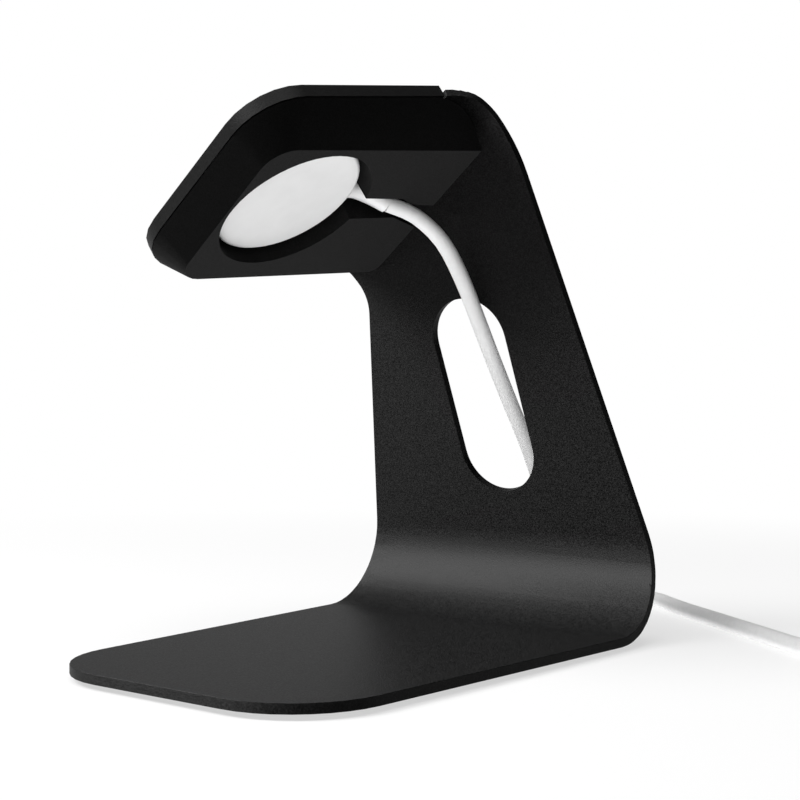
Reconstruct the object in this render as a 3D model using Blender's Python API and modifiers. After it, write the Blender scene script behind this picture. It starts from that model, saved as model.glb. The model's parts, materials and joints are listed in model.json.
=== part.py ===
"""Smartwatch charging dock: a stand bent from one aluminium sheet, with a cradle that holds a charging puck.

Metres, +Z up. X runs across the base, and the base reaches forward along -Y from the bottom bend.
The cradle is drawn in its own frame: x forward, y towards the raised side, z out through the watch seat.
"""

from math import acos, atan2, ceil, cos, pi, radians, sin, tan

import bmesh
import bpy
from mathutils import Matrix, Vector, geometry

# Clearance between pieces that seat on each other
CLEARANCE = 0.0003

# Stand, one bent sheet
SHEET = 0.0016
SHEET_EDGE = 0.0002
BASE_LENGTH = 0.0791
BEND_WIDTH = 0.0681
BASE_TAPER = 0.06
BASE_CORNER = 0.0165
BEND_RADIUS = 0.0146
LEAN = radians(17.34)
UPRIGHT_WIDTH = 0.06374
UPRIGHT_TAPER = 0.196
SLOT_WIDTH = 0.0167
SLOT_LOW = 0.0161
SLOT_HIGH = 0.0384
SLOT_SLANT = 0.086
SLOT_SHIFT = 0.0011

# Diagonal fold that carries the cradle
FOLD_HEIGHT = 0.07875
FOLD_ANGLE = radians(34.68)
FOLD_TURN = radians(77.16)
FOLD_RADIUS = 0.0098
NECK_START = 0.0690
NECK_BULGE = 0.01245
NECK_SHOULDER = 0.0104
NECK_FILLET = 0.0085

# Anti-slip pad under the base
PAD_THICKNESS = 0.0006
PAD_INSET = 0.009

# Charging puck
PUCK_RADIUS = 0.01385
PUCK_HEIGHT = 0.008
PUCK_WALL = 0.0010
PUCK_ROUND = 0.0008
PUCK_DISH = 0.0006
PUCK_EXIT = 0.0025
EXIT_SHIFT = 0.0007
CAP_EDGE = 0.0015
MAGNET_RADIUS = 0.0038
MAGNET_HEIGHT = 0.0014
WINDING_INNER = 0.0052
WINDING_GAP = 0.00165
WINDING_OUTER = PUCK_RADIUS - PUCK_WALL - WINDING_GAP
WINDING_HEIGHT = 0.0011
FERRITE_HEIGHT = 0.0007
BOARD_HEIGHT = 0.0008

# Cradle, measured from the middle of the pocket
PUCK_REACH = 0.0328
PUCK_SHIFT = 0.0102
PUCK_RECESS = 0.0024
POCKET_GAP = 0.0007
POCKET_RADIUS = PUCK_RADIUS + POCKET_GAP
BLOCK_HEIGHT = 0.0089
UNDER_FRONT_WALL = 0.00035
UNDER_NEAR_WALL = 0.00145
UNDER_FAR_WALL = 0.00435
UNDER_FRONT = POCKET_RADIUS + UNDER_FRONT_WALL
UNDER_NEAR = POCKET_RADIUS + UNDER_NEAR_WALL
UNDER_FAR = POCKET_RADIUS + UNDER_FAR_WALL
UNDER_FLARE = 0.008
FAR_FLARE = 0.038
UNDER_ROUND = 0.0050
TOP_FRONT_WALL = 0.00015
TOP_NEAR_WALL = 0.00435
TOP_FAR_WALL = 0.01255
TOP_FRONT = POCKET_RADIUS + TOP_FRONT_WALL
TOP_NEAR = POCKET_RADIUS + TOP_NEAR_WALL
TOP_FAR = POCKET_RADIUS + TOP_FAR_WALL
TOP_FLARE = 0.05
TOP_ROUND = 0.0105
FRONT_SLANT = 0.05
COVER_HEIGHT = 0.00245
COVER_RIM = 0.0012
COVER_REAR = 0.0272
POCKET_SHIFT = 0.0003
ARM_END = 0.004
ARM_ROUND = 0.0015
SEAT_LIP = 0.0016
SEAT_WALL = 0.0012
SEAT_FLARE = 0.0014
NOTCH_ROOF = 0.0077

# Cord, coil and plug
CORD = 0.003
RELIEF_ROOT = 0.0044
RELIEF_TIP = 0.0035
COIL_RING = 0.0165
COIL_ACROSS = 0.0085
COIL_RISE = 0.0075
COIL_PLACE = (0.0880, 0.0260)
PLUG_BODY = (0.0180, 0.0150, 0.0072)
PLUG_SHELL = (0.0120, 0.0120, 0.0045)
PLUG_SHELL_WALL = 0.0004
PLUG_TONGUE = 0.0018
PLUG_RELIEF = 0.0100
PLUG_TURN = radians(70)
CONTACT = (0.0080, 0.0012, 0.0003)

GROUND = PAD_THICKNESS + CLEARANCE
MIDDLE = SHEET / 2
BEND_MIDDLE = BEND_RADIUS - MIDDLE
BEND_ARC = BEND_MIDDLE * (pi / 2 + LEAN)
FOLD_ARC = FOLD_RADIUS * FOLD_TURN
FOLD_TANGENT = FOLD_RADIUS * tan(FOLD_TURN / 2)
ARM_INSET = COVER_RIM + CLEARANCE

for leftover in list(bpy.data.objects):
    bpy.data.objects.remove(leftover)

parts = bpy.data.collections.new("smartwatch_charging_dock")
cutters = bpy.data.collections.new("cutters")
for collection in (parts, cutters):
    bpy.context.scene.collection.children.link(collection)


def material(name, colour, roughness, metallic=0.0):
    made = bpy.data.materials.new(name)
    made.use_nodes = True
    shader = made.node_tree.nodes["Principled BSDF"]
    shader.inputs["Base Color"].default_value = (*colour, 1)
    shader.inputs["Roughness"].default_value = roughness
    shader.inputs["Metallic"].default_value = metallic
    return made


BLACK_METAL = material("black_anodised", (0.012, 0.012, 0.013), 0.5, 0.6)
BLACK_PLASTIC = material("black_plastic", (0.01, 0.01, 0.011), 0.6)
BLACK_RUBBER = material("black_rubber", (0.02, 0.02, 0.02), 0.8)
WHITE_PLASTIC = material("white_plastic", (0.75, 0.75, 0.75), 0.35)
WHITE_CORD = material("white_cord", (0.68, 0.68, 0.68), 0.5)
STEEL = material("steel", (0.6, 0.6, 0.6), 0.25, 1.0)
GOLD = material("gold", (0.9, 0.65, 0.25), 0.3, 1.0)
COPPER = material("copper", (0.7, 0.32, 0.15), 0.4, 1.0)
FERRITE = material("ferrite", (0.06, 0.06, 0.065), 0.6)
BOARD = material("green_board", (0.02, 0.12, 0.05), 0.5)


def place(name, data, finish, matrix=None, collection=parts):
    """A named object for a mesh or curve, with its material and its place."""
    made = bpy.data.objects.new(name, data)
    if finish:
        data.materials.append(finish)
    if matrix:
        made.matrix_world = matrix
    collection.objects.link(made)
    return made


def from_bmesh(name, bm, finish, matrix=None, collection=parts):
    data = bpy.data.meshes.new(name)
    bmesh.ops.recalc_face_normals(bm, faces=bm.faces)
    bm.to_mesh(data)
    bm.free()
    if finish:
        data.shade_smooth()
        data.set_sharp_from_angle(angle=radians(35))
    return place(name, data, finish, matrix, collection)


def cut(target, cutter, operation="DIFFERENCE"):
    cutter.hide_render = True
    cutter.display_type = "WIRE"
    modifier = target.modifiers.new(cutter.name, "BOOLEAN")
    modifier.operation = operation
    modifier.solver = "EXACT"
    modifier.object = cutter


def corner(before, at, after, radius, steps=6):
    """The arc that rounds the corner at a point between two straight runs."""
    at = Vector(at)
    back = (Vector(before) - at).normalized()
    ahead = (Vector(after) - at).normalized()
    half = back.angle(ahead) / 2
    middle = at + (back + ahead).normalized() * radius / sin(half)
    start = at + back * radius / tan(half) - middle
    end = at + ahead * radius / tan(half) - middle
    sweep = atan2(start.cross(end), start.dot(end))
    return [middle + Matrix.Rotation(sweep * k / steps, 2) @ start for k in range(steps + 1)]


def rounded(corners):
    """A closed outline from corners given as (x, y, radius)."""
    points = []
    count = len(corners)
    for i, (x, y, radius) in enumerate(corners):
        before = corners[i - 1][:2]
        after = corners[(i + 1) % count][:2]
        points += corner(before, (x, y), after, radius) if radius else [Vector((x, y))]
    return points


def ring_of(bm, points, z):
    return [bm.verts.new((p[0], p[1], z)) for p in points]


def prism(name, points, low, high, finish=None, matrix=None, collection=parts, top=None):
    """A solid between two outlines at two heights; top is the same outline unless it is given."""
    bm = bmesh.new()
    lower = ring_of(bm, points, low)
    upper = ring_of(bm, top or points, high)
    bm.faces.new(reversed(lower))
    bm.faces.new(upper)
    for i in range(len(lower)):
        j = (i + 1) % len(lower)
        bm.faces.new((lower[i], lower[j], upper[j], upper[i]))
    return from_bmesh(name, bm, finish, matrix, collection)


def turned(name, profile, finish, matrix, steps=56, collection=parts):
    """A solid of revolution about its own z axis, from (radius, height) points listed top to bottom."""
    bm = bmesh.new()
    points = [bm.verts.new((radius, 0, height)) for radius, height in profile]
    closed = profile[0][0] > 0 or profile[-1][0] > 0
    for first, second in zip(points, points[1:]):
        bm.edges.new((first, second))
    if closed:
        bm.edges.new((points[-1], points[0]))
    made = from_bmesh(name, bm, finish, matrix, collection)
    screw = made.modifiers.new("turn", "SCREW")
    screw.axis = "Z"
    screw.steps = steps
    screw.render_steps = steps
    screw.use_merge_vertices = True
    screw.merge_threshold = 0.00002
    screw.use_smooth_shade = True
    return made


def drum(name, radius, low, high, matrix, collection=cutters, finish=None, top_radius=None, sides=56):
    bm = bmesh.new()
    bmesh.ops.create_cone(
        bm,
        cap_ends=True,
        segments=sides,
        radius1=radius,
        radius2=radius if top_radius is None else top_radius,
        depth=high - low,
        matrix=Matrix.Translation((0, 0, (low + high) / 2)),
    )
    return from_bmesh(name, bm, finish, matrix, collection)


def block(name, size, middle, finish=None, matrix=None, collection=parts, round_edge=0.0):
    bm = bmesh.new()
    bmesh.ops.create_cube(bm, size=1, matrix=Matrix.Translation(middle) @ Matrix.Diagonal((*size, 1)))
    if round_edge:
        bmesh.ops.bevel(
            bm, geom=bm.edges[:], offset=round_edge, segments=3, profile=0.5, affect="EDGES", material=-1
        )
    return from_bmesh(name, bm, finish, matrix, collection)


# Flat pattern of the stand: x across, v along the strip from the start of the bottom bend
ALONG_FOLD = Vector((cos(FOLD_ANGLE), sin(FOLD_ANGLE)))
PAST_FOLD = Vector((-sin(FOLD_ANGLE), cos(FOLD_ANGLE)))
FOLD_START = Vector((0, BEND_ARC + FOLD_HEIGHT)) - PAST_FOLD * FOLD_TANGENT


def flat(along, past):
    """Flat-pattern point by its distance along the diagonal fold and past the fold's start."""
    return FOLD_START + ALONG_FOLD * along + PAST_FOLD * past


def flat_of_cradle(forward, side):
    """Flat-pattern point of a cradle point that lies on the arm."""
    return flat(side - PUCK_SHIFT, forward + PUCK_REACH + FOLD_ARC - FOLD_TANGENT)


def bezier(start, leave, arrive, end, count):
    return [p.to_2d() for p in geometry.interpolate_bezier(*(v.to_3d() for v in (start, leave, arrive, end)), count)]


def upright_edge(side, height):
    return Vector((side * (UPRIGHT_WIDTH / 2 - UPRIGHT_TAPER * height), BEND_ARC + height))


def base_edge(side, forward):
    return Vector((side * (BEND_WIDTH / 2 - BASE_TAPER * forward), -forward))


def through_bend(side):
    """The side edge between the base and the upright, one smooth curve across the bottom bend."""
    start = base_edge(side, 0)
    end = upright_edge(side, 0)
    third = BEND_ARC / 3
    leave = start + Vector((side * BASE_TAPER, 1)) * third
    arrive = end - Vector((-side * UPRIGHT_TAPER, 1)) * third
    return bezier(start, leave, arrive, end, 9)


def under_outline(rear):
    """Corners (forward, side, radius) of the cradle's underside, from the rear far corner round the front."""
    slant = FRONT_SLANT / 2
    return [
        (-rear, -UNDER_FAR - FAR_FLARE * rear, 0.0),
        (UNDER_FRONT + slant * UNDER_FAR, FAR_FLARE * UNDER_FRONT - UNDER_FAR, UNDER_ROUND),
        (UNDER_FRONT - slant * UNDER_NEAR, UNDER_NEAR - UNDER_FLARE * UNDER_FRONT, UNDER_ROUND),
        (-rear, UNDER_NEAR + UNDER_FLARE * rear, 0.0),
    ]


def top_outline(inset=0.0, rear=COVER_REAR):
    """Corners (forward, side, radius) of the cradle's upper part, in the same order."""
    return [
        (-rear, inset - TOP_FAR, 0.0),
        (TOP_FRONT + FRONT_SLANT * TOP_FAR - inset, inset - TOP_FAR, TOP_ROUND - inset),
        (TOP_FRONT - FRONT_SLANT * TOP_NEAR - inset, TOP_NEAR - TOP_FLARE * TOP_FRONT - inset, TOP_ROUND - inset),
        (-rear, TOP_NEAR + TOP_FLARE * rear - inset, 0.0),
    ]


def arm_outline():
    """Flat-pattern points from the upright's right edge round the arm, which forks round the puck, to its left edge."""
    rear_near = top_outline(ARM_INSET)[3]
    low = upright_edge(1, NECK_START)
    rise = Vector((-UPRIGHT_TAPER, 1)).normalized()
    bulge = flat(NECK_BULGE, FOLD_ARC / 3)
    reach = (bulge - low).length / 3
    points = bezier(low, low + rise * reach, bulge - PAST_FOLD * reach, bulge, 9)
    arm_start = flat_of_cradle(*rear_near[:2]) - PAST_FOLD * CLEARANCE
    shoulder = arm_start + ALONG_FOLD * (NECK_SHOULDER - (arm_start - FOLD_START).dot(ALONG_FOLD))
    reach = (shoulder - bulge).length / 3
    inward = (PAST_FOLD - ALONG_FOLD * 0.45).normalized()
    points += bezier(bulge, bulge + PAST_FOLD * reach, shoulder - inward * reach, shoulder, 6)[1:]
    points.append(arm_start)
    far_edge = ARM_INSET - TOP_FAR
    far_rear = flat_of_cradle(-COVER_REAR, far_edge)
    far_tip = flat_of_cradle(ARM_END, far_edge)
    foot = upright_edge(-1, 0)
    higher = upright_edge(-1, NECK_START)
    meet = geometry.intersect_line_line(*(v.to_3d() for v in (far_rear, far_tip, foot, higher)))[0].to_2d()
    near_tip = flat_of_cradle(ARM_END, TOP_NEAR - TOP_FLARE * ARM_END - ARM_INSET)
    turn = acos(ARM_END / POCKET_RADIUS)
    steps = 30
    hollow = [turn + (2 * pi - 2 * turn) * k / steps for k in range(steps + 1)]
    hollow = [flat_of_cradle(POCKET_RADIUS * cos(a), POCKET_RADIUS * sin(a)) for a in hollow]
    points += corner(arm_start, near_tip, hollow[0], ARM_ROUND)
    points += hollow
    points += corner(hollow[-1], far_tip, meet, ARM_ROUND)
    return points + corner(far_tip, meet, foot, NECK_FILLET, 7)


def slot_outline():
    """The oblong cable slot, slightly slanted on the upright's centre line."""
    lean = Vector((-SLOT_SLANT, 1)).normalized()
    across = Vector((lean.y, -lean.x))
    centre = Vector((SLOT_SHIFT, BEND_ARC + (SLOT_LOW + SLOT_HIGH) / 2))
    half = (SLOT_HIGH - SLOT_LOW) / 2
    steps = 10
    points = []
    for end in (1, -1):
        for k in range(steps + 1):
            turn = pi * k / steps
            way = (across * cos(turn) + lean * sin(turn)) * end
            points.append(centre + lean * half * end + way * SLOT_WIDTH / 2)
    return points


def bent(point):
    """Where a point of the flat pattern lies on the middle surface of the bent sheet."""
    x, v = point.x, point.y
    if v < 0:
        return Vector((x, v, GROUND + MIDDLE))
    turn = min(v / BEND_MIDDLE, pi / 2 + LEAN)
    middle = Vector((0, 0, GROUND + BEND_RADIUS))
    outwards = Vector((0, sin(turn), -cos(turn)))
    if v < BEND_ARC:
        return middle + outwards * BEND_MIDDLE + Vector((x, 0, 0))
    past = (Vector((x, v)) - FOLD_START).dot(PAST_FOLD)
    along = (Vector((x, v)) - FOLD_START).dot(ALONG_FOLD)
    rise = Vector((0, -sin(LEAN), cos(LEAN)))
    if past <= 0:
        return middle + outwards * BEND_MIDDLE + rise * (v - BEND_ARC) + Vector((x, 0, 0))
    start = middle + outwards * BEND_MIDDLE + rise * (FOLD_START.y - BEND_ARC) + Vector((FOLD_START.x, 0, 0))
    axis = Vector((1, 0, 0)) * ALONG_FOLD.x + rise * ALONG_FOLD.y
    up = Vector((1, 0, 0)) * PAST_FOLD.x + rise * PAST_FOLD.y
    swing = min(past / FOLD_RADIUS, FOLD_TURN)
    over = up * sin(swing) - outwards * (1 - cos(swing))
    ahead = up * cos(swing) - outwards * sin(swing)
    return start + axis * along + over * FOLD_RADIUS + ahead * (past - swing * FOLD_RADIUS)


def cradle_frame():
    """The cradle's frame: origin at the middle of the pocket's mouth, z out through the seat."""
    origin = bent(flat_of_cradle(0, 0))
    forward = (bent(flat_of_cradle(PUCK_RADIUS, 0)) - origin).normalized()
    side = (bent(flat_of_cradle(0, PUCK_RADIUS)) - origin).normalized()
    out = forward.cross(side)
    origin -= out * (BLOCK_HEIGHT + CLEARANCE + MIDDLE)
    frame = Matrix((forward, side, out)).transposed().to_4x4()
    frame.translation = origin
    return frame


CRADLE = cradle_frame()


def stand_body():
    """The whole stand from its flat pattern: cut outline and slot, then the two bends."""
    front = BASE_LENGTH
    left, right = base_edge(-1, front), base_edge(1, front)
    outline = corner(base_edge(-1, 0), left, right, BASE_CORNER, 9)
    outline += corner(left, right, base_edge(1, 0), BASE_CORNER, 9)
    outline += through_bend(1)
    outline += arm_outline()
    outline += reversed(through_bend(-1))
    bm = bmesh.new()
    edges = []
    for loop in (outline, slot_outline()):
        verts = ring_of(bm, loop, 0)
        edges += [bm.edges.new((verts[i - 1], verts[i])) for i in range(len(verts))]
    bmesh.ops.triangle_fill(bm, edges=edges, use_beauty=True)
    bend_strips = 14
    for k in range(bend_strips + 1):
        slice_at(bm, Vector((0, BEND_ARC * k / bend_strips)), Vector((0, 1)))
    fold_strips = 11
    for k in range(fold_strips + 1):
        slice_at(bm, FOLD_START + PAST_FOLD * FOLD_ARC * k / fold_strips, PAST_FOLD)
    bmesh.ops.remove_doubles(bm, verts=bm.verts, dist=0.00015)
    for vert in bm.verts:
        vert.co = bent(vert.co.to_2d())
    made = from_bmesh("stand_body", bm, BLACK_METAL)
    wall = made.modifiers.new("sheet", "SOLIDIFY")
    wall.thickness = SHEET
    wall.offset = 0
    wall.use_even_offset = True
    edge = made.modifiers.new("edge", "BEVEL")
    edge.width = SHEET_EDGE
    edge.segments = 1
    edge.limit_method = "ANGLE"
    edge.angle_limit = radians(50)
    return made


def slice_at(bm, point, normal):
    geom = bm.verts[:] + bm.edges[:] + bm.faces[:]
    bmesh.ops.bisect_plane(bm, geom=geom, plane_co=point.to_3d(), plane_no=normal.to_3d(), dist=0.00001)


def base_pad():
    """The thin rubber sheet under the base, inset all round."""
    inset = PAD_INSET
    front = BASE_LENGTH - inset
    half_front = BEND_WIDTH / 2 - BASE_TAPER * front - inset
    half_rear = BEND_WIDTH / 2 - inset
    corners = [
        (-half_front, -front, BASE_CORNER - inset),
        (half_front, -front, BASE_CORNER - inset),
        (half_rear, -inset, inset),
        (-half_rear, -inset, inset),
    ]
    return prism("base_pad", rounded(corners), 0, PAD_THICKNESS, BLACK_RUBBER)


def cradle_block():
    """The deep lower moulding: drafted sides, a stepped rear that follows the fold, the pocket and the cord notch."""
    far_back = PUCK_REACH + FOLD_RADIUS
    under = rounded(under_outline(far_back))
    top = rounded(top_outline(rear=far_back))
    made = prism("cradle_block", under, 0, BLOCK_HEIGHT, BLACK_PLASTIC, CRADLE, top=top)
    shifted = CRADLE @ Matrix.Translation((-POCKET_SHIFT, 0, 0))
    cut(made, drum("pocket_cutter", POCKET_RADIUS, -CORD, BLOCK_HEIGHT + CORD, shifted))
    cut(made, notch_cutter())
    cut(made, rear_cutter())
    return made


def notch_cutter():
    """The way out for the cord, from the pocket through the rear of the block."""
    start = -POCKET_RADIUS / 2
    reach = PUCK_REACH + FOLD_RADIUS
    near_wall = [(start, 0.0034), (-0.0242, 0.0027), (-0.0267, 0.0015), (-0.0294, 0.0008), (-reach, 0.0)]
    far_wall = [(-reach, -0.0095), (-0.0257, -0.0027), (start, -0.0026)]
    points = [Vector(p) for p in near_wall + far_wall]
    return prism("notch_cutter", points, -CORD, NOTCH_ROOF, None, CRADLE, cutters)


def rear_cutter():
    """Everything behind the block's rear face, which keeps clear of the upright and of the inside of the fold."""
    middle = Vector((FOLD_TANGENT - PUCK_REACH, BLOCK_HEIGHT + CLEARANCE + MIDDLE - FOLD_RADIUS))
    radius = FOLD_RADIUS - MIDDLE - CLEARANCE
    steps = 10
    arc = []
    for k in range(steps + 1):
        turn = pi / 2 + FOLD_TURN * k / steps
        arc.append(middle + Vector((cos(turn), sin(turn))) * radius)
    down = Vector((-cos(FOLD_TURN), -sin(FOLD_TURN)))
    foot = arc[-1] + down * 2 * BLOCK_HEIGHT
    high = 2 * BLOCK_HEIGHT
    behind = -2 * PUCK_REACH
    outline = arc + [foot, Vector((behind, foot.y)), Vector((behind, high)), Vector((arc[0].x, high))]
    upright = CRADLE @ Matrix.Rotation(pi / 2, 4, "X")
    half = TOP_NEAR + TOP_FAR
    return prism("rear_cutter", outline, -half, half, None, upright, cutters)


def cradle_cover():
    """The upper moulding: a thin plate over the arm with a rim round its edge and the watch seat."""
    low = BLOCK_HEIGHT + CLEARANCE
    high = low + COVER_HEIGHT
    made = prism("cradle_cover", rounded(top_outline()), low, high, BLACK_PLASTIC, CRADLE)
    inside = top_outline(COVER_RIM, 2 * COVER_REAR)
    ceiling = low + SHEET + CLEARANCE
    cavity = prism("arm_cutter", rounded(inside), low - CORD, ceiling, None, CRADLE, cutters)
    cut(made, cavity)
    puck_room = PUCK_RADIUS + CLEARANCE
    cut(made, drum("puck_cutter", puck_room, low - CORD, PUCK_RECESS + PUCK_HEIGHT + CLEARANCE, CRADLE))
    seat_radius = PUCK_RADIUS - SEAT_LIP
    seat_low = PUCK_RECESS + PUCK_HEIGHT + CLEARANCE
    wall = drum("seat_wall", seat_radius + SEAT_WALL, seat_low, ceiling + CLEARANCE, CRADLE)
    cut(made, wall, "UNION")
    cut(made, drum("seat_cutter", seat_radius, low - CORD, high + CORD, CRADLE))
    flare = drum(
        "seat_flare", seat_radius - SEAT_FLARE, high - 2 * SEAT_FLARE, high + SEAT_FLARE, CRADLE,
        top_radius=seat_radius + 2 * SEAT_FLARE,
    )
    cut(made, flare)
    return made


def puck():
    """The magnetic charging puck, from its shell up: board, ferrite, winding, magnet and dished cap."""
    base = PUCK_RECESS
    floor = base + PUCK_WALL
    shell_top = base + PUCK_HEIGHT - CAP_EDGE - CLEARANCE
    inner = PUCK_RADIUS - PUCK_WALL
    lower_round = [
        (PUCK_RADIUS - PUCK_ROUND * (1 - cos(a)), base + PUCK_ROUND * (1 - sin(a)))
        for a in (0, pi / 8, pi / 4, 3 * pi / 8, pi / 2)
    ]
    profile = [(PUCK_RADIUS, shell_top), *lower_round, (0, base), (0, floor), (inner, floor), (inner, shell_top)]
    shell = turned("puck_shell", profile, WHITE_PLASTIC, CRADLE)
    outlet = Matrix.Translation((-inner, EXIT_SHIFT, base + PUCK_EXIT))
    sideways = CRADLE @ outlet @ Matrix.Rotation(-pi / 2, 4, "Y")
    cut(shell, drum("lead_hole", CORD / 2, -PUCK_WALL, 2 * PUCK_WALL, sideways, sides=20))
    board_low = floor + CLEARANCE
    ferrite_low = board_low + BOARD_HEIGHT + CLEARANCE
    winding_low = ferrite_low + FERRITE_HEIGHT + CLEARANCE
    spigot_low = winding_low + max(MAGNET_HEIGHT, WINDING_HEIGHT) + CLEARANCE
    drum("puck_board", WINDING_OUTER, board_low, board_low + BOARD_HEIGHT, CRADLE, parts, BOARD, sides=40)
    ferrite_top = ferrite_low + FERRITE_HEIGHT
    drum("puck_ferrite", inner - CLEARANCE, ferrite_low, ferrite_top, CRADLE, parts, FERRITE, sides=40)
    drum("puck_magnet", MAGNET_RADIUS, winding_low, winding_low + MAGNET_HEIGHT, CRADLE, parts, STEEL, sides=32)
    high = winding_low + WINDING_HEIGHT
    winding = [(WINDING_OUTER, high), (WINDING_OUTER, winding_low), (WINDING_INNER, winding_low), (WINDING_INNER, high)]
    turned("puck_winding", winding, COPPER, CRADLE, 40)
    cap_top = base + PUCK_HEIGHT
    spigot = inner - CLEARANCE
    edge = CAP_EDGE / 3
    dish = [
        (PUCK_RADIUS * k / 6, cap_top - PUCK_DISH * (1 - (k / 6) ** 2)) for k in range(6)
    ]
    cap = [*dish, (PUCK_RADIUS - edge, cap_top), (PUCK_RADIUS, cap_top - edge), (PUCK_RADIUS, cap_top - CAP_EDGE)]
    cap += [(spigot, cap_top - CAP_EDGE), (spigot, spigot_low), (0, spigot_low)]
    turned("puck_cap", cap, WHITE_PLASTIC, CRADLE)


def smooth_run(points, spacing):
    """Evenly spaced points on one smooth curve through the route's own points."""
    fine = []
    for i in range(len(points) - 1):
        a, b, c, d = (points[max(i - 1, 0)], points[i], points[i + 1], points[min(i + 2, len(points) - 1)])
        for k in range(24):
            u = k / 24
            fine.append(
                (b * 2 + (c - a) * u + (a * 2 - b * 5 + c * 4 - d) * u * u + (b * 3 - a - c * 3 + d) * u**3) / 2
            )
    fine.append(points[-1])
    run = [0.0]
    for p, q in zip(fine, fine[1:]):
        run.append(run[-1] + (q - p).length)
    count = ceil(run[-1] / spacing)
    out = []
    i = 0
    for k in range(count + 1):
        at = run[-1] * k / count
        while i < len(run) - 2 and run[i + 1] < at:
            i += 1
        out.append(fine[i].lerp(fine[i + 1], (at - run[i]) / (run[i + 1] - run[i])))
    return out


def tube(name, points, radii, finish, sides=2):
    data = bpy.data.curves.new(name, "CURVE")
    data.dimensions = "3D"
    data.bevel_depth = 1.0
    data.bevel_resolution = sides
    data.use_fill_caps = True
    spline = data.splines.new("POLY")
    spline.points.add(len(points) - 1)
    for point, p, radius in zip(spline.points, points, radii):
        point.co = (*p, 1)
        point.radius = radius
    return place(name, data, finish)


def relief_route():
    """Centre line of the puck's strain relief: square out of the shell, then drooping out of the notch."""
    start = Vector((-PUCK_RADIUS - CLEARANCE, EXIT_SHIFT, PUCK_RECESS + PUCK_EXIT))
    steps = [(0, 0, 0), (-0.0024, 0, -0.0004), (-0.0053, 0, -0.0022), (-0.0078, 0, -0.0043)]
    return [CRADLE @ (start + Vector(step)) for step in steps]


# Route of the cord from just past the strain relief, through the slot and down, then along the floor to the coil
CORD_ROUTE = [
    (-0.0010, -0.0144, 0.0785),
    (0.0014, -0.0094, 0.0741),
    (0.0030, -0.0054, 0.0674),
    (0.0037, -0.0012, 0.0600),
    (0.0040, 0.0035, 0.0525),
    (0.0051, 0.0082, 0.0436),
    (0.0063, 0.0129, 0.0347),
    (0.0064, 0.0185, 0.0245),
    (0.0050, 0.0260, 0.0142),
    (0.0020, 0.0350, 0.0065),
    (0.0001, 0.0420, 0.0028),
    (-0.0002, 0.0480, 0.0016),
    (0.0022, 0.0533, 0.0015),
    (0.0075, 0.0556, 0.0015),
    (0.0127, 0.0539, 0.0015),
    (0.0185, 0.0489, 0.0015),
    (0.0249, 0.0436, 0.0015),
    (0.0371, 0.0343, 0.0015),
    (0.0484, 0.0257, 0.0015),
    (0.0596, 0.0172, 0.0015),
    (0.0708, 0.0095, 0.0015),
    (0.0823, 0.00475, 0.0015),
]


def cord():
    relief = smooth_run(relief_route(), CORD / 2)
    start = relief[-1] + (relief[-1] - relief[-2]).normalized() * CLEARANCE
    points = [start, *map(Vector, CORD_ROUTE)]
    slim = [
        (RELIEF_ROOT + (RELIEF_TIP - RELIEF_ROOT) * k / (len(relief) - 1)) / 2 for k in range(len(relief))
    ]
    tube("puck_relief", relief, slim, WHITE_PLASTIC, 3)
    run = smooth_run(points, 2.4 * CORD)
    tube("charging_cord", run, [CORD / 2] * len(run), WHITE_CORD)


def cord_coil():
    """Outer shape of the neat coil that holds the rest of the cord."""
    half, bulge = COIL_RISE / 2, COIL_ACROSS / 2
    section = [
        (COIL_RING + bulge * cos(a), half + half * sin(a)) for a in (pi / 2 - 2 * pi * k / 12 for k in range(12))
    ]
    turned("cord_coil", section, WHITE_CORD, Matrix.Translation((*COIL_PLACE, 0)), 40)


def plug():
    """The plug at the end of the cord, where it leaves the coil."""
    length, width, height = PLUG_BODY
    tail = PLUG_RELIEF
    beside = COIL_RING + COIL_ACROSS / 2 + CLEARANCE + CORD / 2
    frame = Matrix.Translation((COIL_PLACE[0] + beside, COIL_PLACE[1], 0)) @ Matrix.Rotation(PLUG_TURN, 4, "Z")
    middle = height / 2
    count = 5
    run = [frame @ Vector((tail * k / count, 0, middle)) for k in range(count + 1)]
    thin = [(CORD / 2 + (RELIEF_ROOT - CORD) / 2 * k / count) for k in range(count + 1)]
    tube("plug_relief", run, thin, WHITE_PLASTIC, 3)
    body_at = tail + CLEARANCE
    block("plug_body", PLUG_BODY, (body_at + length / 2, 0, middle), WHITE_PLASTIC, frame, round_edge=0.0016)
    shell_length, shell_width, shell_height = PLUG_SHELL
    shell_at = body_at + length + CLEARANCE
    shell_middle = shell_at + shell_length / 2
    shell = block("plug_shell", PLUG_SHELL, (shell_middle, 0, middle), STEEL, frame)
    wall = 2 * PLUG_SHELL_WALL
    hollow = (2 * shell_length, shell_width - wall, shell_height - wall)
    cut(shell, block("shell_cutter", hollow, (shell_middle, 0, middle), None, frame, cutters))
    tongue_width = shell_width - wall - 2 * CLEARANCE
    tongue_low = middle - shell_height / 2 + PLUG_SHELL_WALL + CLEARANCE
    tongue = (shell_length - CLEARANCE, tongue_width, PLUG_TONGUE)
    tongue_at = (shell_at + tongue[0] / 2, 0, tongue_low + PLUG_TONGUE / 2)
    block("plug_tongue", tongue, tongue_at, WHITE_PLASTIC, frame)
    count = 4
    pitch = tongue_width / count
    contact_length, contact_width, contact_height = CONTACT
    for k in range(count):
        across = pitch * (k - (count - 1) / 2)
        low = tongue_low + PLUG_TONGUE + CLEARANCE
        at = (shell_at + shell_length - contact_length / 2 - 4 * CLEARANCE, across, low + contact_height / 2)
        block(f"plug_contact_{k + 1}", CONTACT, at, GOLD, frame)


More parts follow.
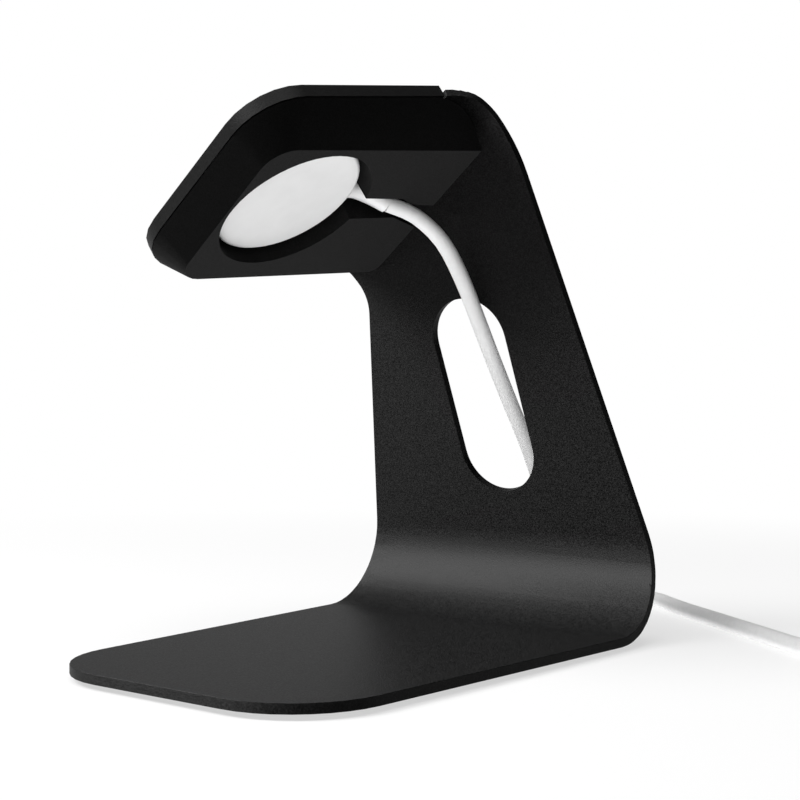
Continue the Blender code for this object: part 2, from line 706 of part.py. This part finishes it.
def middle_of_footprint():
    """Middle of the stand as seen from above, between the bend, the base's front and the cradle's far corner."""
    outer = rounded(top_outline())
    low = BLOCK_HEIGHT + CLEARANCE
    left = min((CRADLE @ Vector((*p, low))).x for p in outer)
    left = min(left, min((CRADLE @ Vector((*p, low + COVER_HEIGHT))).x for p in outer))
    right = max(p.x for p in through_bend(1))
    return Vector(((left + right) / 2, (BEND_RADIUS - BASE_LENGTH) / 2, 0))


stand_body()
base_pad()
cradle_block()
cradle_cover()
puck()
cord()
cord_coil()
plug()

# The middle of the stand's footprint goes to the origin
to_origin = Matrix.Translation(-middle_of_footprint())
for made in [*parts.objects, *cutters.objects]:
    made.matrix_world = to_origin @ made.matrix_world
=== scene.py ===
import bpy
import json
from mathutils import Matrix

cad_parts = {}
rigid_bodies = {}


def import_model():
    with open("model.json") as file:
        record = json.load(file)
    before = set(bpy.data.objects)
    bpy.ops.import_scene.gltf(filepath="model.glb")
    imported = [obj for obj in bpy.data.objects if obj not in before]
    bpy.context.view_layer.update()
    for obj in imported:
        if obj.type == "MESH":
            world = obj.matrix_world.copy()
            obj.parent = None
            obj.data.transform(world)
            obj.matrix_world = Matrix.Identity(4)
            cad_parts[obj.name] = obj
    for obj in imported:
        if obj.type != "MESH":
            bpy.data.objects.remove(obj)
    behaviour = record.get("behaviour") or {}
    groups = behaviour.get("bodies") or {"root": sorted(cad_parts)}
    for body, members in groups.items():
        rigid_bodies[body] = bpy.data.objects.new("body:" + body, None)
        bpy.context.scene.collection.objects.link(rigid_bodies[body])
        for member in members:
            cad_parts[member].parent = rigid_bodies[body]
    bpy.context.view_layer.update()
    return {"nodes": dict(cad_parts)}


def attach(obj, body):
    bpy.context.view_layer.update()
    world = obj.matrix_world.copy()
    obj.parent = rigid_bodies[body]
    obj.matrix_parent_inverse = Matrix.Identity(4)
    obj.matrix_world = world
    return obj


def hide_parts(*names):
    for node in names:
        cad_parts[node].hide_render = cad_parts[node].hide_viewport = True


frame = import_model()

import json
from math import cos, pi, radians, sin

import bmesh
import bpy
from mathutils import Vector

nodes = frame["nodes"]


# Camera and studio
# A level camera stands to the right of the dock and looks at it from the front, a little above the base,
# on a seamless white sweep lit by broad soft panels, so the floor runs into the background.

# The solids stand with their footprint's middle at the origin and the pad on the floor. Places measured
# from the stand's lower bend are moved by the same shift.
STAND_SHIFT = Vector((0.0011182, 0.03225, 0.0))
FLOOR_LIFT = Vector((0, 0, 0.0009))

camera = bpy.data.objects.new("camera", bpy.data.cameras.new("camera"))
camera.data.lens = 63.284
camera.data.sensor_width = 36
camera.data.clip_start = 0.01
camera.data.clip_end = 20
camera.location = Vector((0.156385, -0.220123, 0.043767)) + STAND_SHIFT + FLOOR_LIFT
camera.rotation_euler = (pi / 2, 0, radians(38.054))
bpy.context.scene.collection.objects.link(camera)
bpy.context.scene.camera = camera
bpy.context.scene.view_settings.view_transform = "Standard"


class Socket:
    """A shader socket that takes arithmetic, so a pattern is written as a sum or a product."""

    def __init__(self, tree, link):
        self.tree = tree
        self.link = link

    def math(self, operation, *others):
        return add(self.tree, "ShaderNodeMath", {"operation": operation}, self, *others)

    def __add__(self, other):
        return self.math("ADD", other)

    def __mul__(self, other):
        return self.math("MULTIPLY", other)

    __radd__ = __add__
    __rmul__ = __mul__


def add(tree, kind, settings=None, *values, output=0, **named):
    """One node: its settings first, then the values or links of its sockets; gives back one output."""
    node = tree.nodes.new(kind)
    for name, value in (settings or {}).items():
        if name == "stops":
            ramp = node.color_ramp.elements
            while len(ramp) < len(value):
                ramp.new(1)
            for element, (position, colour) in zip(ramp, value):
                element.position = position
                element.color = (*colour, 1)
        else:
            setattr(node, name, value)
    places = [*enumerate(values), *((name.replace("_", " "), value) for name, value in named.items())]
    for place, value in places:
        if isinstance(value, Socket):
            tree.links.new(value.link, node.inputs[place])
        else:
            node.inputs[place].default_value = value
    return Socket(tree, node.outputs[output])


def white_to_the_eye(tree):
    """One for rays from the camera, a glossy surface or a clear one, so all three see the backdrop."""
    seen = add(tree, "ShaderNodeLightPath", output="Is Camera Ray")
    mirrored = add(tree, "ShaderNodeLightPath", output="Is Glossy Ray")
    through = add(tree, "ShaderNodeLightPath", output="Is Transmission Ray")
    return seen.math("MAXIMUM", mirrored).math("MAXIMUM", through)


def fade(tree, value, start, end):
    """A smooth step from 0 at the start to 1 at the end."""
    step = {"interpolation_type": "SMOOTHSTEP"}
    return add(tree, "ShaderNodeMapRange", step, Value=value, From_Min=start, From_Max=end)


# Near the dock the floor shows part of its own shading, which lets the soft shadow through. Farther out
# it is white.
NEAR, FAR = 0.12, 0.35
NEAR_WHITE = 0.6
FLOOR_HALF = 6

sweep = bpy.data.materials.new("white_sweep")
sweep.use_nodes = True
tree = sweep.node_tree
place = add(tree, "ShaderNodeTexCoord", output="Object")
away = add(tree, "ShaderNodeVectorMath", {"operation": "LENGTH"}, place, output="Value")
far = fade(tree, away, NEAR, FAR)
paper = add(tree, "ShaderNodeBsdfDiffuse", {}, Color=(0.95, 0.95, 0.95, 1))
glow = add(tree, "ShaderNodeEmission", {}, Color=(1, 1, 1, 1), Strength=1.0)
share = white_to_the_eye(tree) * (far * (1 - NEAR_WHITE) + NEAR_WHITE)
tree.links.new(
    add(tree, "ShaderNodeMixShader", {}, share, paper, glow).link,
    tree.nodes["Material Output"].inputs["Surface"],
)

floor_mesh = bmesh.new()
bmesh.ops.create_grid(floor_mesh, x_segments=1, y_segments=1, size=FLOOR_HALF)
floor_data = bpy.data.meshes.new("floor")
floor_mesh.to_mesh(floor_data)
floor_mesh.free()
floor = bpy.data.objects.new("floor", floor_data)
floor_data.materials.append(sweep)
bpy.context.scene.collection.objects.link(floor)

# Behind the dock the studio is white to the lens and to polished surfaces; the rest of the room is dim.
ROOM = 0.06
BEHIND = (-0.61641, 0.78743, 0.0)
BACKDROP_EDGE, BACKDROP_FULL = 0.85, 0.97

world = bpy.data.worlds.new("studio")
world.use_nodes = True
bpy.context.scene.world = world
tree = world.node_tree
sky = tree.nodes["Background"]
sky.inputs["Color"].default_value = (1, 1, 1, 1)
way = add(tree, "ShaderNodeTexCoord", output="Generated")
facing = add(tree, "ShaderNodeVectorMath", {"operation": "DOT_PRODUCT"}, way, BEHIND, output="Value")
behind = fade(tree, facing, BACKDROP_EDGE, BACKDROP_FULL)
seen = add(tree, "ShaderNodeLightPath", output="Is Camera Ray")
shown = (white_to_the_eye(tree) * behind).math("MAXIMUM", seen)
tree.links.new((shown * (1 - ROOM) + ROOM).link, sky.inputs["Strength"])

# Lists of pieces that the lamps are linked to. The first three hold what is put in them; the last two hold
# everything but what is left out of them.
STAND_ONLY = bpy.data.collections.new("stand_only")
BLOCK_ONLY = bpy.data.collections.new("block_only")
CRADLE_ONLY = bpy.data.collections.new("cradle_only")
KEY_LIT = bpy.data.collections.new("key_lit")
TOP_LIT = bpy.data.collections.new("top_lit")


def leave_out(piece, *lists):
    """Takes a piece out of lists that hold everything else."""
    for pieces in lists:
        pieces.objects.link(piece)
        pieces.collection_objects[len(pieces.objects) - 1].light_linking.link_state = "EXCLUDE"


def panel(name, place, aim, size, power, shadow=True, lights=None, shaded_by=None):
    """One soft panel lamp; lights and shaded_by name the pieces that it reaches and that shade it."""
    data = bpy.data.lights.new(name, "AREA")
    data.shape = "RECTANGLE"
    data.size, data.size_y = size
    data.energy = power
    data.use_shadow = shadow
    lamp = bpy.data.objects.new(name, data)
    lamp.location = place
    lamp.rotation_euler = (Vector(aim) - Vector(place)).to_track_quat("-Z", "Y").to_euler()
    lamp.visible_camera = False
    lamp.light_linking.receiver_collection = lights
    lamp.light_linking.blocker_collection = shaded_by
    bpy.context.scene.collection.objects.link(lamp)


# The stand's own lamps make the highlight on its lower bend and the shade under the cradle. The lamps from
# below give the light that a pale desk throws back.
AT_BASE = (0, 0, 0.03)
AT_BEND = (0, 0, 0.04)
AT_PUCK = (0, 0, 0.06)
panel("key_panel", (-0.45, -0.52, 0.72), AT_BASE, (0.5, 0.5), 9.0, lights=KEY_LIT)
panel("edge_panel", (-0.94, -0.64, 1.01), AT_BASE, (0.68, 0.68), 62.0, shadow=False, lights=STAND_ONLY)
panel("left_panel", (-0.48, -0.80, 0.34), AT_BEND, (0.4, 0.3), 38.0, lights=STAND_ONLY, shaded_by=CRADLE_ONLY)
panel("top_panel", (0.10, -0.15, 0.95), AT_BASE, (0.7, 0.7), 4.0, lights=TOP_LIT)
panel("front_panel", (0.12, -0.95, 0.10), AT_PUCK, (0.6, 0.3), 2.5, lights=KEY_LIT)
panel("low_panel", (0.10, -0.15, -0.95), AT_PUCK, (0.5, 0.5), 6.6, lights=KEY_LIT, shaded_by=CRADLE_ONLY)
panel("under_panel", (-0.20, 0.10, -0.95), AT_PUCK, (0.5, 0.5), 20.0, lights=BLOCK_ONLY, shaded_by=CRADLE_ONLY)


# Plug
# The cord ends in a moulded white body with a short strain relief, a plated steel shell round a white
# tongue, and four gold-plated contacts on the tongue.
WELD = 0.000002
FLAT = radians(0.6)
CORNER_ROUND = 0.0022


def finish_of(name, **constants):
    """A Principled material with its constant values set on the shader's own sockets."""
    made = bpy.data.materials.new(name)
    made.use_nodes = True
    shader = made.node_tree.nodes["Principled BSDF"]
    for socket, value in constants.items():
        shader.inputs[socket.replace("_", " ")].default_value = value
    return made, made.node_tree, shader


def drive(shader, **sockets):
    """Links varying values into the shader."""
    for socket, value in sockets.items():
        value.tree.links.new(value.link, shader.inputs[socket.replace("_", " ")])


def grain(tree, scale, detail=2.0, rough=0.5):
    """Even noise over the surface, from 0 to 1, in the object's own metres."""
    place = add(tree, "ShaderNodeTexCoord", output="Object")
    return add(tree, "ShaderNodeTexNoise", {}, Vector=place, Scale=scale, Detail=detail, Roughness=rough)


def tones(tree, mask, dark, pale, low=0.3, high=0.7):
    """A colour that runs from dark to pale while the mask runs from low to high."""
    return add(tree, "ShaderNodeValToRGB", {"stops": [(low, dark), (high, pale)]}, Fac=mask)


def paint(material, slot, *names):
    """Gives carried-over nodes their finish."""
    for name in names:
        nodes[name].data.materials.clear()
        nodes[name].data.materials.append(material)


def soften(shape, items, affect, width, segments):
    bmesh.ops.bevel(
        shape, geom=items, affect=affect, offset=width, segments=segments, profile=0.5, material=-1,
        clamp_overlap=True,
    )


def smooth(data, angle):
    """Smooth shading with sharp edges past the angle."""
    data.shade_smooth()
    data.set_sharp_from_angle(angle=radians(angle))


def even_normals(made):
    even = made.modifiers.new("even", "WEIGHTED_NORMAL")
    even.keep_sharp = True


def skin(name, material, ease=0.0, angle=35, corner=None):
    """A seamless copy of a solid that takes its place, its edges eased by a width and one corner rounded."""
    shape = bmesh.new()
    shape.from_mesh(nodes[name].data)
    bmesh.ops.remove_doubles(shape, verts=shape.verts, dist=WELD)
    bmesh.ops.dissolve_limit(shape, angle_limit=FLAT, verts=shape.verts, edges=shape.edges)
    if corner:
        near = min(shape.verts, key=lambda vert: (vert.co - Vector(corner)).length)
        soften(shape, [near], "VERTICES", CORNER_ROUND, 4)
    if ease:
        edges = [e for e in shape.edges if len(e.link_faces) == 2 and e.calc_face_angle() > radians(angle)]
        soften(shape, edges, "EDGES", ease, 2)
    data = bpy.data.meshes.new(name + "_skin")
    shape.to_mesh(data)
    shape.free()
    smooth(data, angle)
    data.materials.append(material)
    made = bpy.data.objects.new(name + "_skin", data)
    bpy.context.scene.collection.objects.link(made)
    even_normals(made)
    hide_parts(name)
    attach(made, "root")
    return made


white, tree, shader = finish_of("white_gloss_plastic")
cloud = grain(tree, 250)
drive(
    shader,
    Base_Color=tones(tree, cloud, (0.76, 0.76, 0.76), (0.79, 0.79, 0.79)),
    Roughness=cloud * 0.06 + 0.27,
)
plug_relief = skin("plug_relief", white, angle=50)
plug_body = skin("plug_body", white, angle=50)
paint(white, "white_plastic", "plug_tongue")

steel, tree, shader = finish_of("plated_steel", Metallic=1.0)
brushed = grain(tree, 2200)
drive(
    shader,
    Base_Color=tones(tree, brushed, (0.55, 0.55, 0.56), (0.66, 0.66, 0.67)),
    Roughness=brushed * 0.1 + 0.2,
)
paint(steel, "steel", "plug_shell", "puck_magnet")

gold, tree, shader = finish_of("gold_plating", Metallic=1.0)
worn = grain(tree, 2200)
drive(
    shader,
    Base_Color=tones(tree, worn, (0.83, 0.58, 0.2), (0.92, 0.68, 0.3)),
    Roughness=worn * 0.1 + 0.22,
)
paint(gold, "gold", "plug_contact_1", "plug_contact_2", "plug_contact_3", "plug_contact_4")


# Cord
# About a metre of smooth white jacketed cord leaves the puck's strain relief, drops through the slot in the
# upright and runs off over the desk. The rest lies in a neat coil of eight turns with the plug beside it.
CORD = 0.003
RELIEF_END = (-0.0040, -0.0190, 0.0805)
CORD_ROUTE = [
    (-0.0010, -0.0144, 0.0785),
    (0.0014, -0.0094, 0.0741),
    (0.0030, -0.0054, 0.0674),
    (0.0037, -0.0012, 0.0600),
    (0.0040, 0.0035, 0.0525),
    (0.0051, 0.0082, 0.0436),
    (0.0063, 0.0129, 0.0347),
    (0.0064, 0.0185, 0.0245),
    (0.0050, 0.0260, 0.0142),
    (0.0020, 0.0350, 0.0065),
    (0.0001, 0.0420, 0.0028),
    (-0.0002, 0.0480, 0.0016),
    (0.0022, 0.0533, 0.0015),
    (0.0075, 0.0556, 0.0015),
    (0.0127, 0.0539, 0.0015),
    (0.0185, 0.0489, 0.0015),
    (0.0249, 0.0436, 0.0015),
    (0.0371, 0.0343, 0.0015),
    (0.0484, 0.0257, 0.0015),
    (0.0596, 0.0172, 0.0015),
    (0.0708, 0.0095, 0.0015),
]
COIL_PLACE = Vector((0.0880, 0.0260, 0))
COIL_START = radians(250)
TURNS = [
    (0.0196, 0.0015),
    (0.0166, 0.0015),
    (0.0136, 0.0015),
    (0.0136, 0.0044),
    (0.0166, 0.0044),
    (0.0150, 0.0071),
    (0.0180, 0.0071),
    (0.0196, 0.0044),
]
TURN_STEPS = 28
LAST_TURN = 0.30
STEP_START = 0.72


def smooth_run(points, count):
    """Points on one smooth curve through the route's own points."""
    fine = []
    for i in range(len(points) - 1):
        a, b, c, d = (points[max(i - 1, 0)], points[i], points[i + 1], points[min(i + 2, len(points) - 1)])
        for k in range(count):
            u = k / count
            square = a * 2 - b * 5 + c * 4 - d
            fine.append((b * 2 + (c - a) * u + square * u * u + (b * 3 - a - c * 3 + d) * u**3) / 2)
    return [*fine, points[-1]]


def coil_route():
    """Turn after turn, with a short step sideways or up at the end of each one."""
    points = []
    for turn, (radius, height) in enumerate(TURNS):
        last = turn == len(TURNS) - 1
        after = TURNS[min(turn + 1, len(TURNS) - 1)]
        for k in range(TURN_STEPS):
            share = k / TURN_STEPS
            if last and share > LAST_TURN:
                break
            step = max(0.0, (share - STEP_START) / (1 - STEP_START))
            step = step * step * (3 - 2 * step)
            angle = COIL_START + 2 * pi * share
            reach = radius + (after[0] - radius) * step
            rise = height + (after[1] - height) * step
            points.append(COIL_PLACE + Vector((cos(angle) * reach, sin(angle) * reach, rise)))
    return points


PLUG_START = Vector((0.11055, 0.0260, 0.0036))
PLUG_TURN = radians(70)
PLUG_WAY = Vector((cos(PLUG_TURN), sin(PLUG_TURN), 0))
SHORT_OF_PLUG = 0.0006
route = [Vector(RELIEF_END), *map(Vector, CORD_ROUTE), *coil_route()]
route += [PLUG_START - PLUG_WAY * SHORT_OF_PLUG]
route = [point + STAND_SHIFT for point in smooth_run(route, 3)]


def curve_length(points):
    return sum((q - p).length for p, q in zip(points, points[1:]))


def bump(tree, height, distance):
    return add(tree, "ShaderNodeBump", {}, Strength=1.0, Distance=distance, Height=height)


cord_data = bpy.data.curves.new("charging_cord_skin", "CURVE")
cord_data.dimensions = "3D"
cord_data.bevel_depth = CORD / 2
cord_data.bevel_resolution = 4
cord_data.use_fill_caps = True
line = cord_data.splines.new("POLY")
line.points.add(len(route) - 1)
for point, place in zip(line.points, route):
    point.co = (*place, 1)
line.use_smooth = True
cord = bpy.data.objects.new("charging_cord_skin", cord_data)
bpy.context.scene.collection.objects.link(cord)

jacket, tree, shader = finish_of("white_cord_jacket", Roughness=0.45)
dust = grain(tree, 900)
drive(
    shader,
    Base_Color=tones(tree, dust, (0.73, 0.73, 0.73), (0.77, 0.77, 0.77)),
    Normal=bump(tree, grain(tree, 2500), 0.00001),
)
cord_data.materials.append(jacket)
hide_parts("charging_cord", "cord_coil")
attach(cord, "root")
round(curve_length(route), 3)


# Stand
# One sheet of aluminium, cut, slotted and bent twice, then bead blasted and anodised black. The blasting
# leaves a fine even grain of paler specks.
def blasted_black(name, level):
    """Bead-blasted black; level is how strongly it mirrors."""
    made, tree, shader = finish_of(name, Specular_IOR_Level=level)
    speck = grain(tree, 4200, 1.0, 0.5)
    drive(
        shader,
        Base_Color=tones(tree, speck, (0.0005, 0.0005, 0.0005), (0.0068, 0.0068, 0.0068), 0.36, 0.7),
        Roughness=speck * 0.3 + 0.36,
        Normal=bump(tree, speck, 0.00004),
    )
    return made


anodised = blasted_black("black_anodised_sheet", 0.05)
SHEET_ANGLE = 28
stand = skin("stand_body", anodised, angle=SHEET_ANGLE)

# The cable slot is milled fully round at both ends, where the solid has it: its low and high end are
# measured up the leaning upright from the lower bend, and it slants a little and lies a little to one
# side.
LEAN = radians(17.34)
BEND_RADIUS = 0.0146
HALF_SHEET = 0.0008
SLOT_WIDTH = 0.0167
SLOT_LOW = 0.0161
SLOT_HIGH = 0.0384
SLOT_SLANT = 0.086
SLOT_SIDE = 0.0011
MILLED = 0.00003
MILL_REACH = 0.003
END_STEPS = 48

rise = Vector((0, -sin(LEAN), cos(LEAN)))
outwards = Vector((0, cos(LEAN), sin(LEAN)))
foot = FLOOR_LIFT + Vector((0, 0, BEND_RADIUS)) + outwards * (BEND_RADIUS - HALF_SHEET) + STAND_SHIFT
slant = Vector((-SLOT_SLANT, 1)).normalized()
across = Vector((slant.y, -slant.x))
rim = []
for end in (1, -1):
    middle = Vector((SLOT_SIDE, (SLOT_LOW + SLOT_HIGH) / 2)) + slant * (SLOT_HIGH - SLOT_LOW) / 2 * end
    for k in range(END_STEPS + 1):
        turn = pi * k / END_STEPS
        rim.append(middle + (across * cos(turn) + slant * sin(turn)) * end * (SLOT_WIDTH / 2 + MILLED))

mill = bmesh.new()
verts = [mill.verts.new(foot + Vector((at.x, 0, 0)) + rise * at.y - outwards * MILL_REACH) for at in rim]
face = mill.faces.new(verts)
pushed = bmesh.ops.extrude_face_region(mill, geom=[face])["geom"]
pushed = [item for item in pushed if isinstance(item, bmesh.types.BMVert)]
bmesh.ops.translate(mill, vec=outwards * 2 * MILL_REACH, verts=pushed)
bmesh.ops.recalc_face_normals(mill, faces=mill.faces)
mill_data = bpy.data.meshes.new("slot_mill")
mill.to_mesh(mill_data)
mill.free()
slot_mill = bpy.data.objects.new("slot_mill", mill_data)
mill_data.materials.append(anodised)

milled = stand.modifiers.new("slot", "BOOLEAN")
milled.operation = "DIFFERENCE"
milled.solver = "EXACT"
milled.object = slot_mill
stand.modifiers.move(1, 0)
bpy.context.scene.collection.objects.link(slot_mill)
bpy.context.view_layer.update()
cut = bpy.data.meshes.new_from_object(stand.evaluated_get(bpy.context.evaluated_depsgraph_get()))
cut.name = "stand_body_cut"
stand.modifiers.clear()
stand.data = cut
bpy.data.objects.remove(slot_mill)
smooth(cut, SHEET_ANGLE)
even_normals(stand)

STAND_ONLY.objects.link(stand)
leave_out(stand, KEY_LIT)


# Cradle
# The thin upper cover has a rim that shows as a narrow band, in a blasted black like the stand's. Under
# it is a deep moulding in plain black plastic with drafted walls, eased edges, the puck's pocket and the
# cord's notch.
blasted = blasted_black("black_blasted_cover", 0.2)
CRADLE_ONLY.objects.link(skin("cradle_cover", blasted, ease=0.0001))

moulded, tree, shader = finish_of("black_moulded_plastic", Specular_IOR_Level=0.01)
leather = grain(tree, 4200)
drive(
    shader,
    Base_Color=tones(tree, leather, (0.0065, 0.0065, 0.0065), (0.0115, 0.0115, 0.0115)),
    Roughness=leather * 0.1 + 0.6,
    Normal=bump(tree, leather, 0.00002),
)
REAR_CORNER = (-0.0182, 0.0285, 0.0701)
block = skin("cradle_block", moulded, ease=0.00012, corner=REAR_CORNER)
CRADLE_ONLY.objects.link(block)
BLOCK_ONLY.objects.link(block)
leave_out(block, KEY_LIT, TOP_LIT)


# Base pad
# A thin sheet of black rubber is glued under the base. It is set back from the base's edges, so it
# doesn't show from the side.
rubber, tree, shader = finish_of("black_rubber_pad")
pores = grain(tree, 1500, 4.0)
drive(
    shader,
    Base_Color=tones(tree, pores, (0.015, 0.015, 0.015), (0.026, 0.026, 0.026)),
    Roughness=pores * 0.1 + 0.75,
    Normal=bump(tree, pores, 0.00005),
)
paint(rubber, "black_rubber", "base_pad")


# Charging puck
# A white two-part housing, dished on its charging face. Inside are the board, a ferrite disc, the flat
# winding and the magnet. The strain relief is moulded in the same white.
CRADLE_ONLY.objects.link(skin("puck_shell", white))
skin("puck_cap", white)
skin("puck_relief", white, angle=50)

board, tree, shader = finish_of("green_circuit_board", Roughness=0.4)
traces = add(tree, "ShaderNodeTexVoronoi", {"distance": "MANHATTAN"}, Scale=900.0)
drive(
    shader,
    Base_Color=tones(tree, traces, (0.03, 0.2, 0.08), (0.01, 0.09, 0.035), 0.2, 0.5),
)
paint(board, "green_board", "puck_board")

ferrite, tree, shader = finish_of("pressed_ferrite", Roughness=0.6)
powder = grain(tree, 3000)
drive(
    shader,
    Base_Color=tones(tree, powder, (0.04, 0.04, 0.042), (0.07, 0.07, 0.075)),
)
paint(ferrite, "ferrite", "puck_ferrite")

copper, tree, shader = finish_of("copper_winding", Metallic=1.0, Roughness=0.35)
wire = grain(tree, 1800)
drive(
    shader,
    Base_Color=tones(tree, wire, (0.62, 0.28, 0.13), (0.78, 0.38, 0.2)),
)
paint(copper, "copper", "puck_winding")
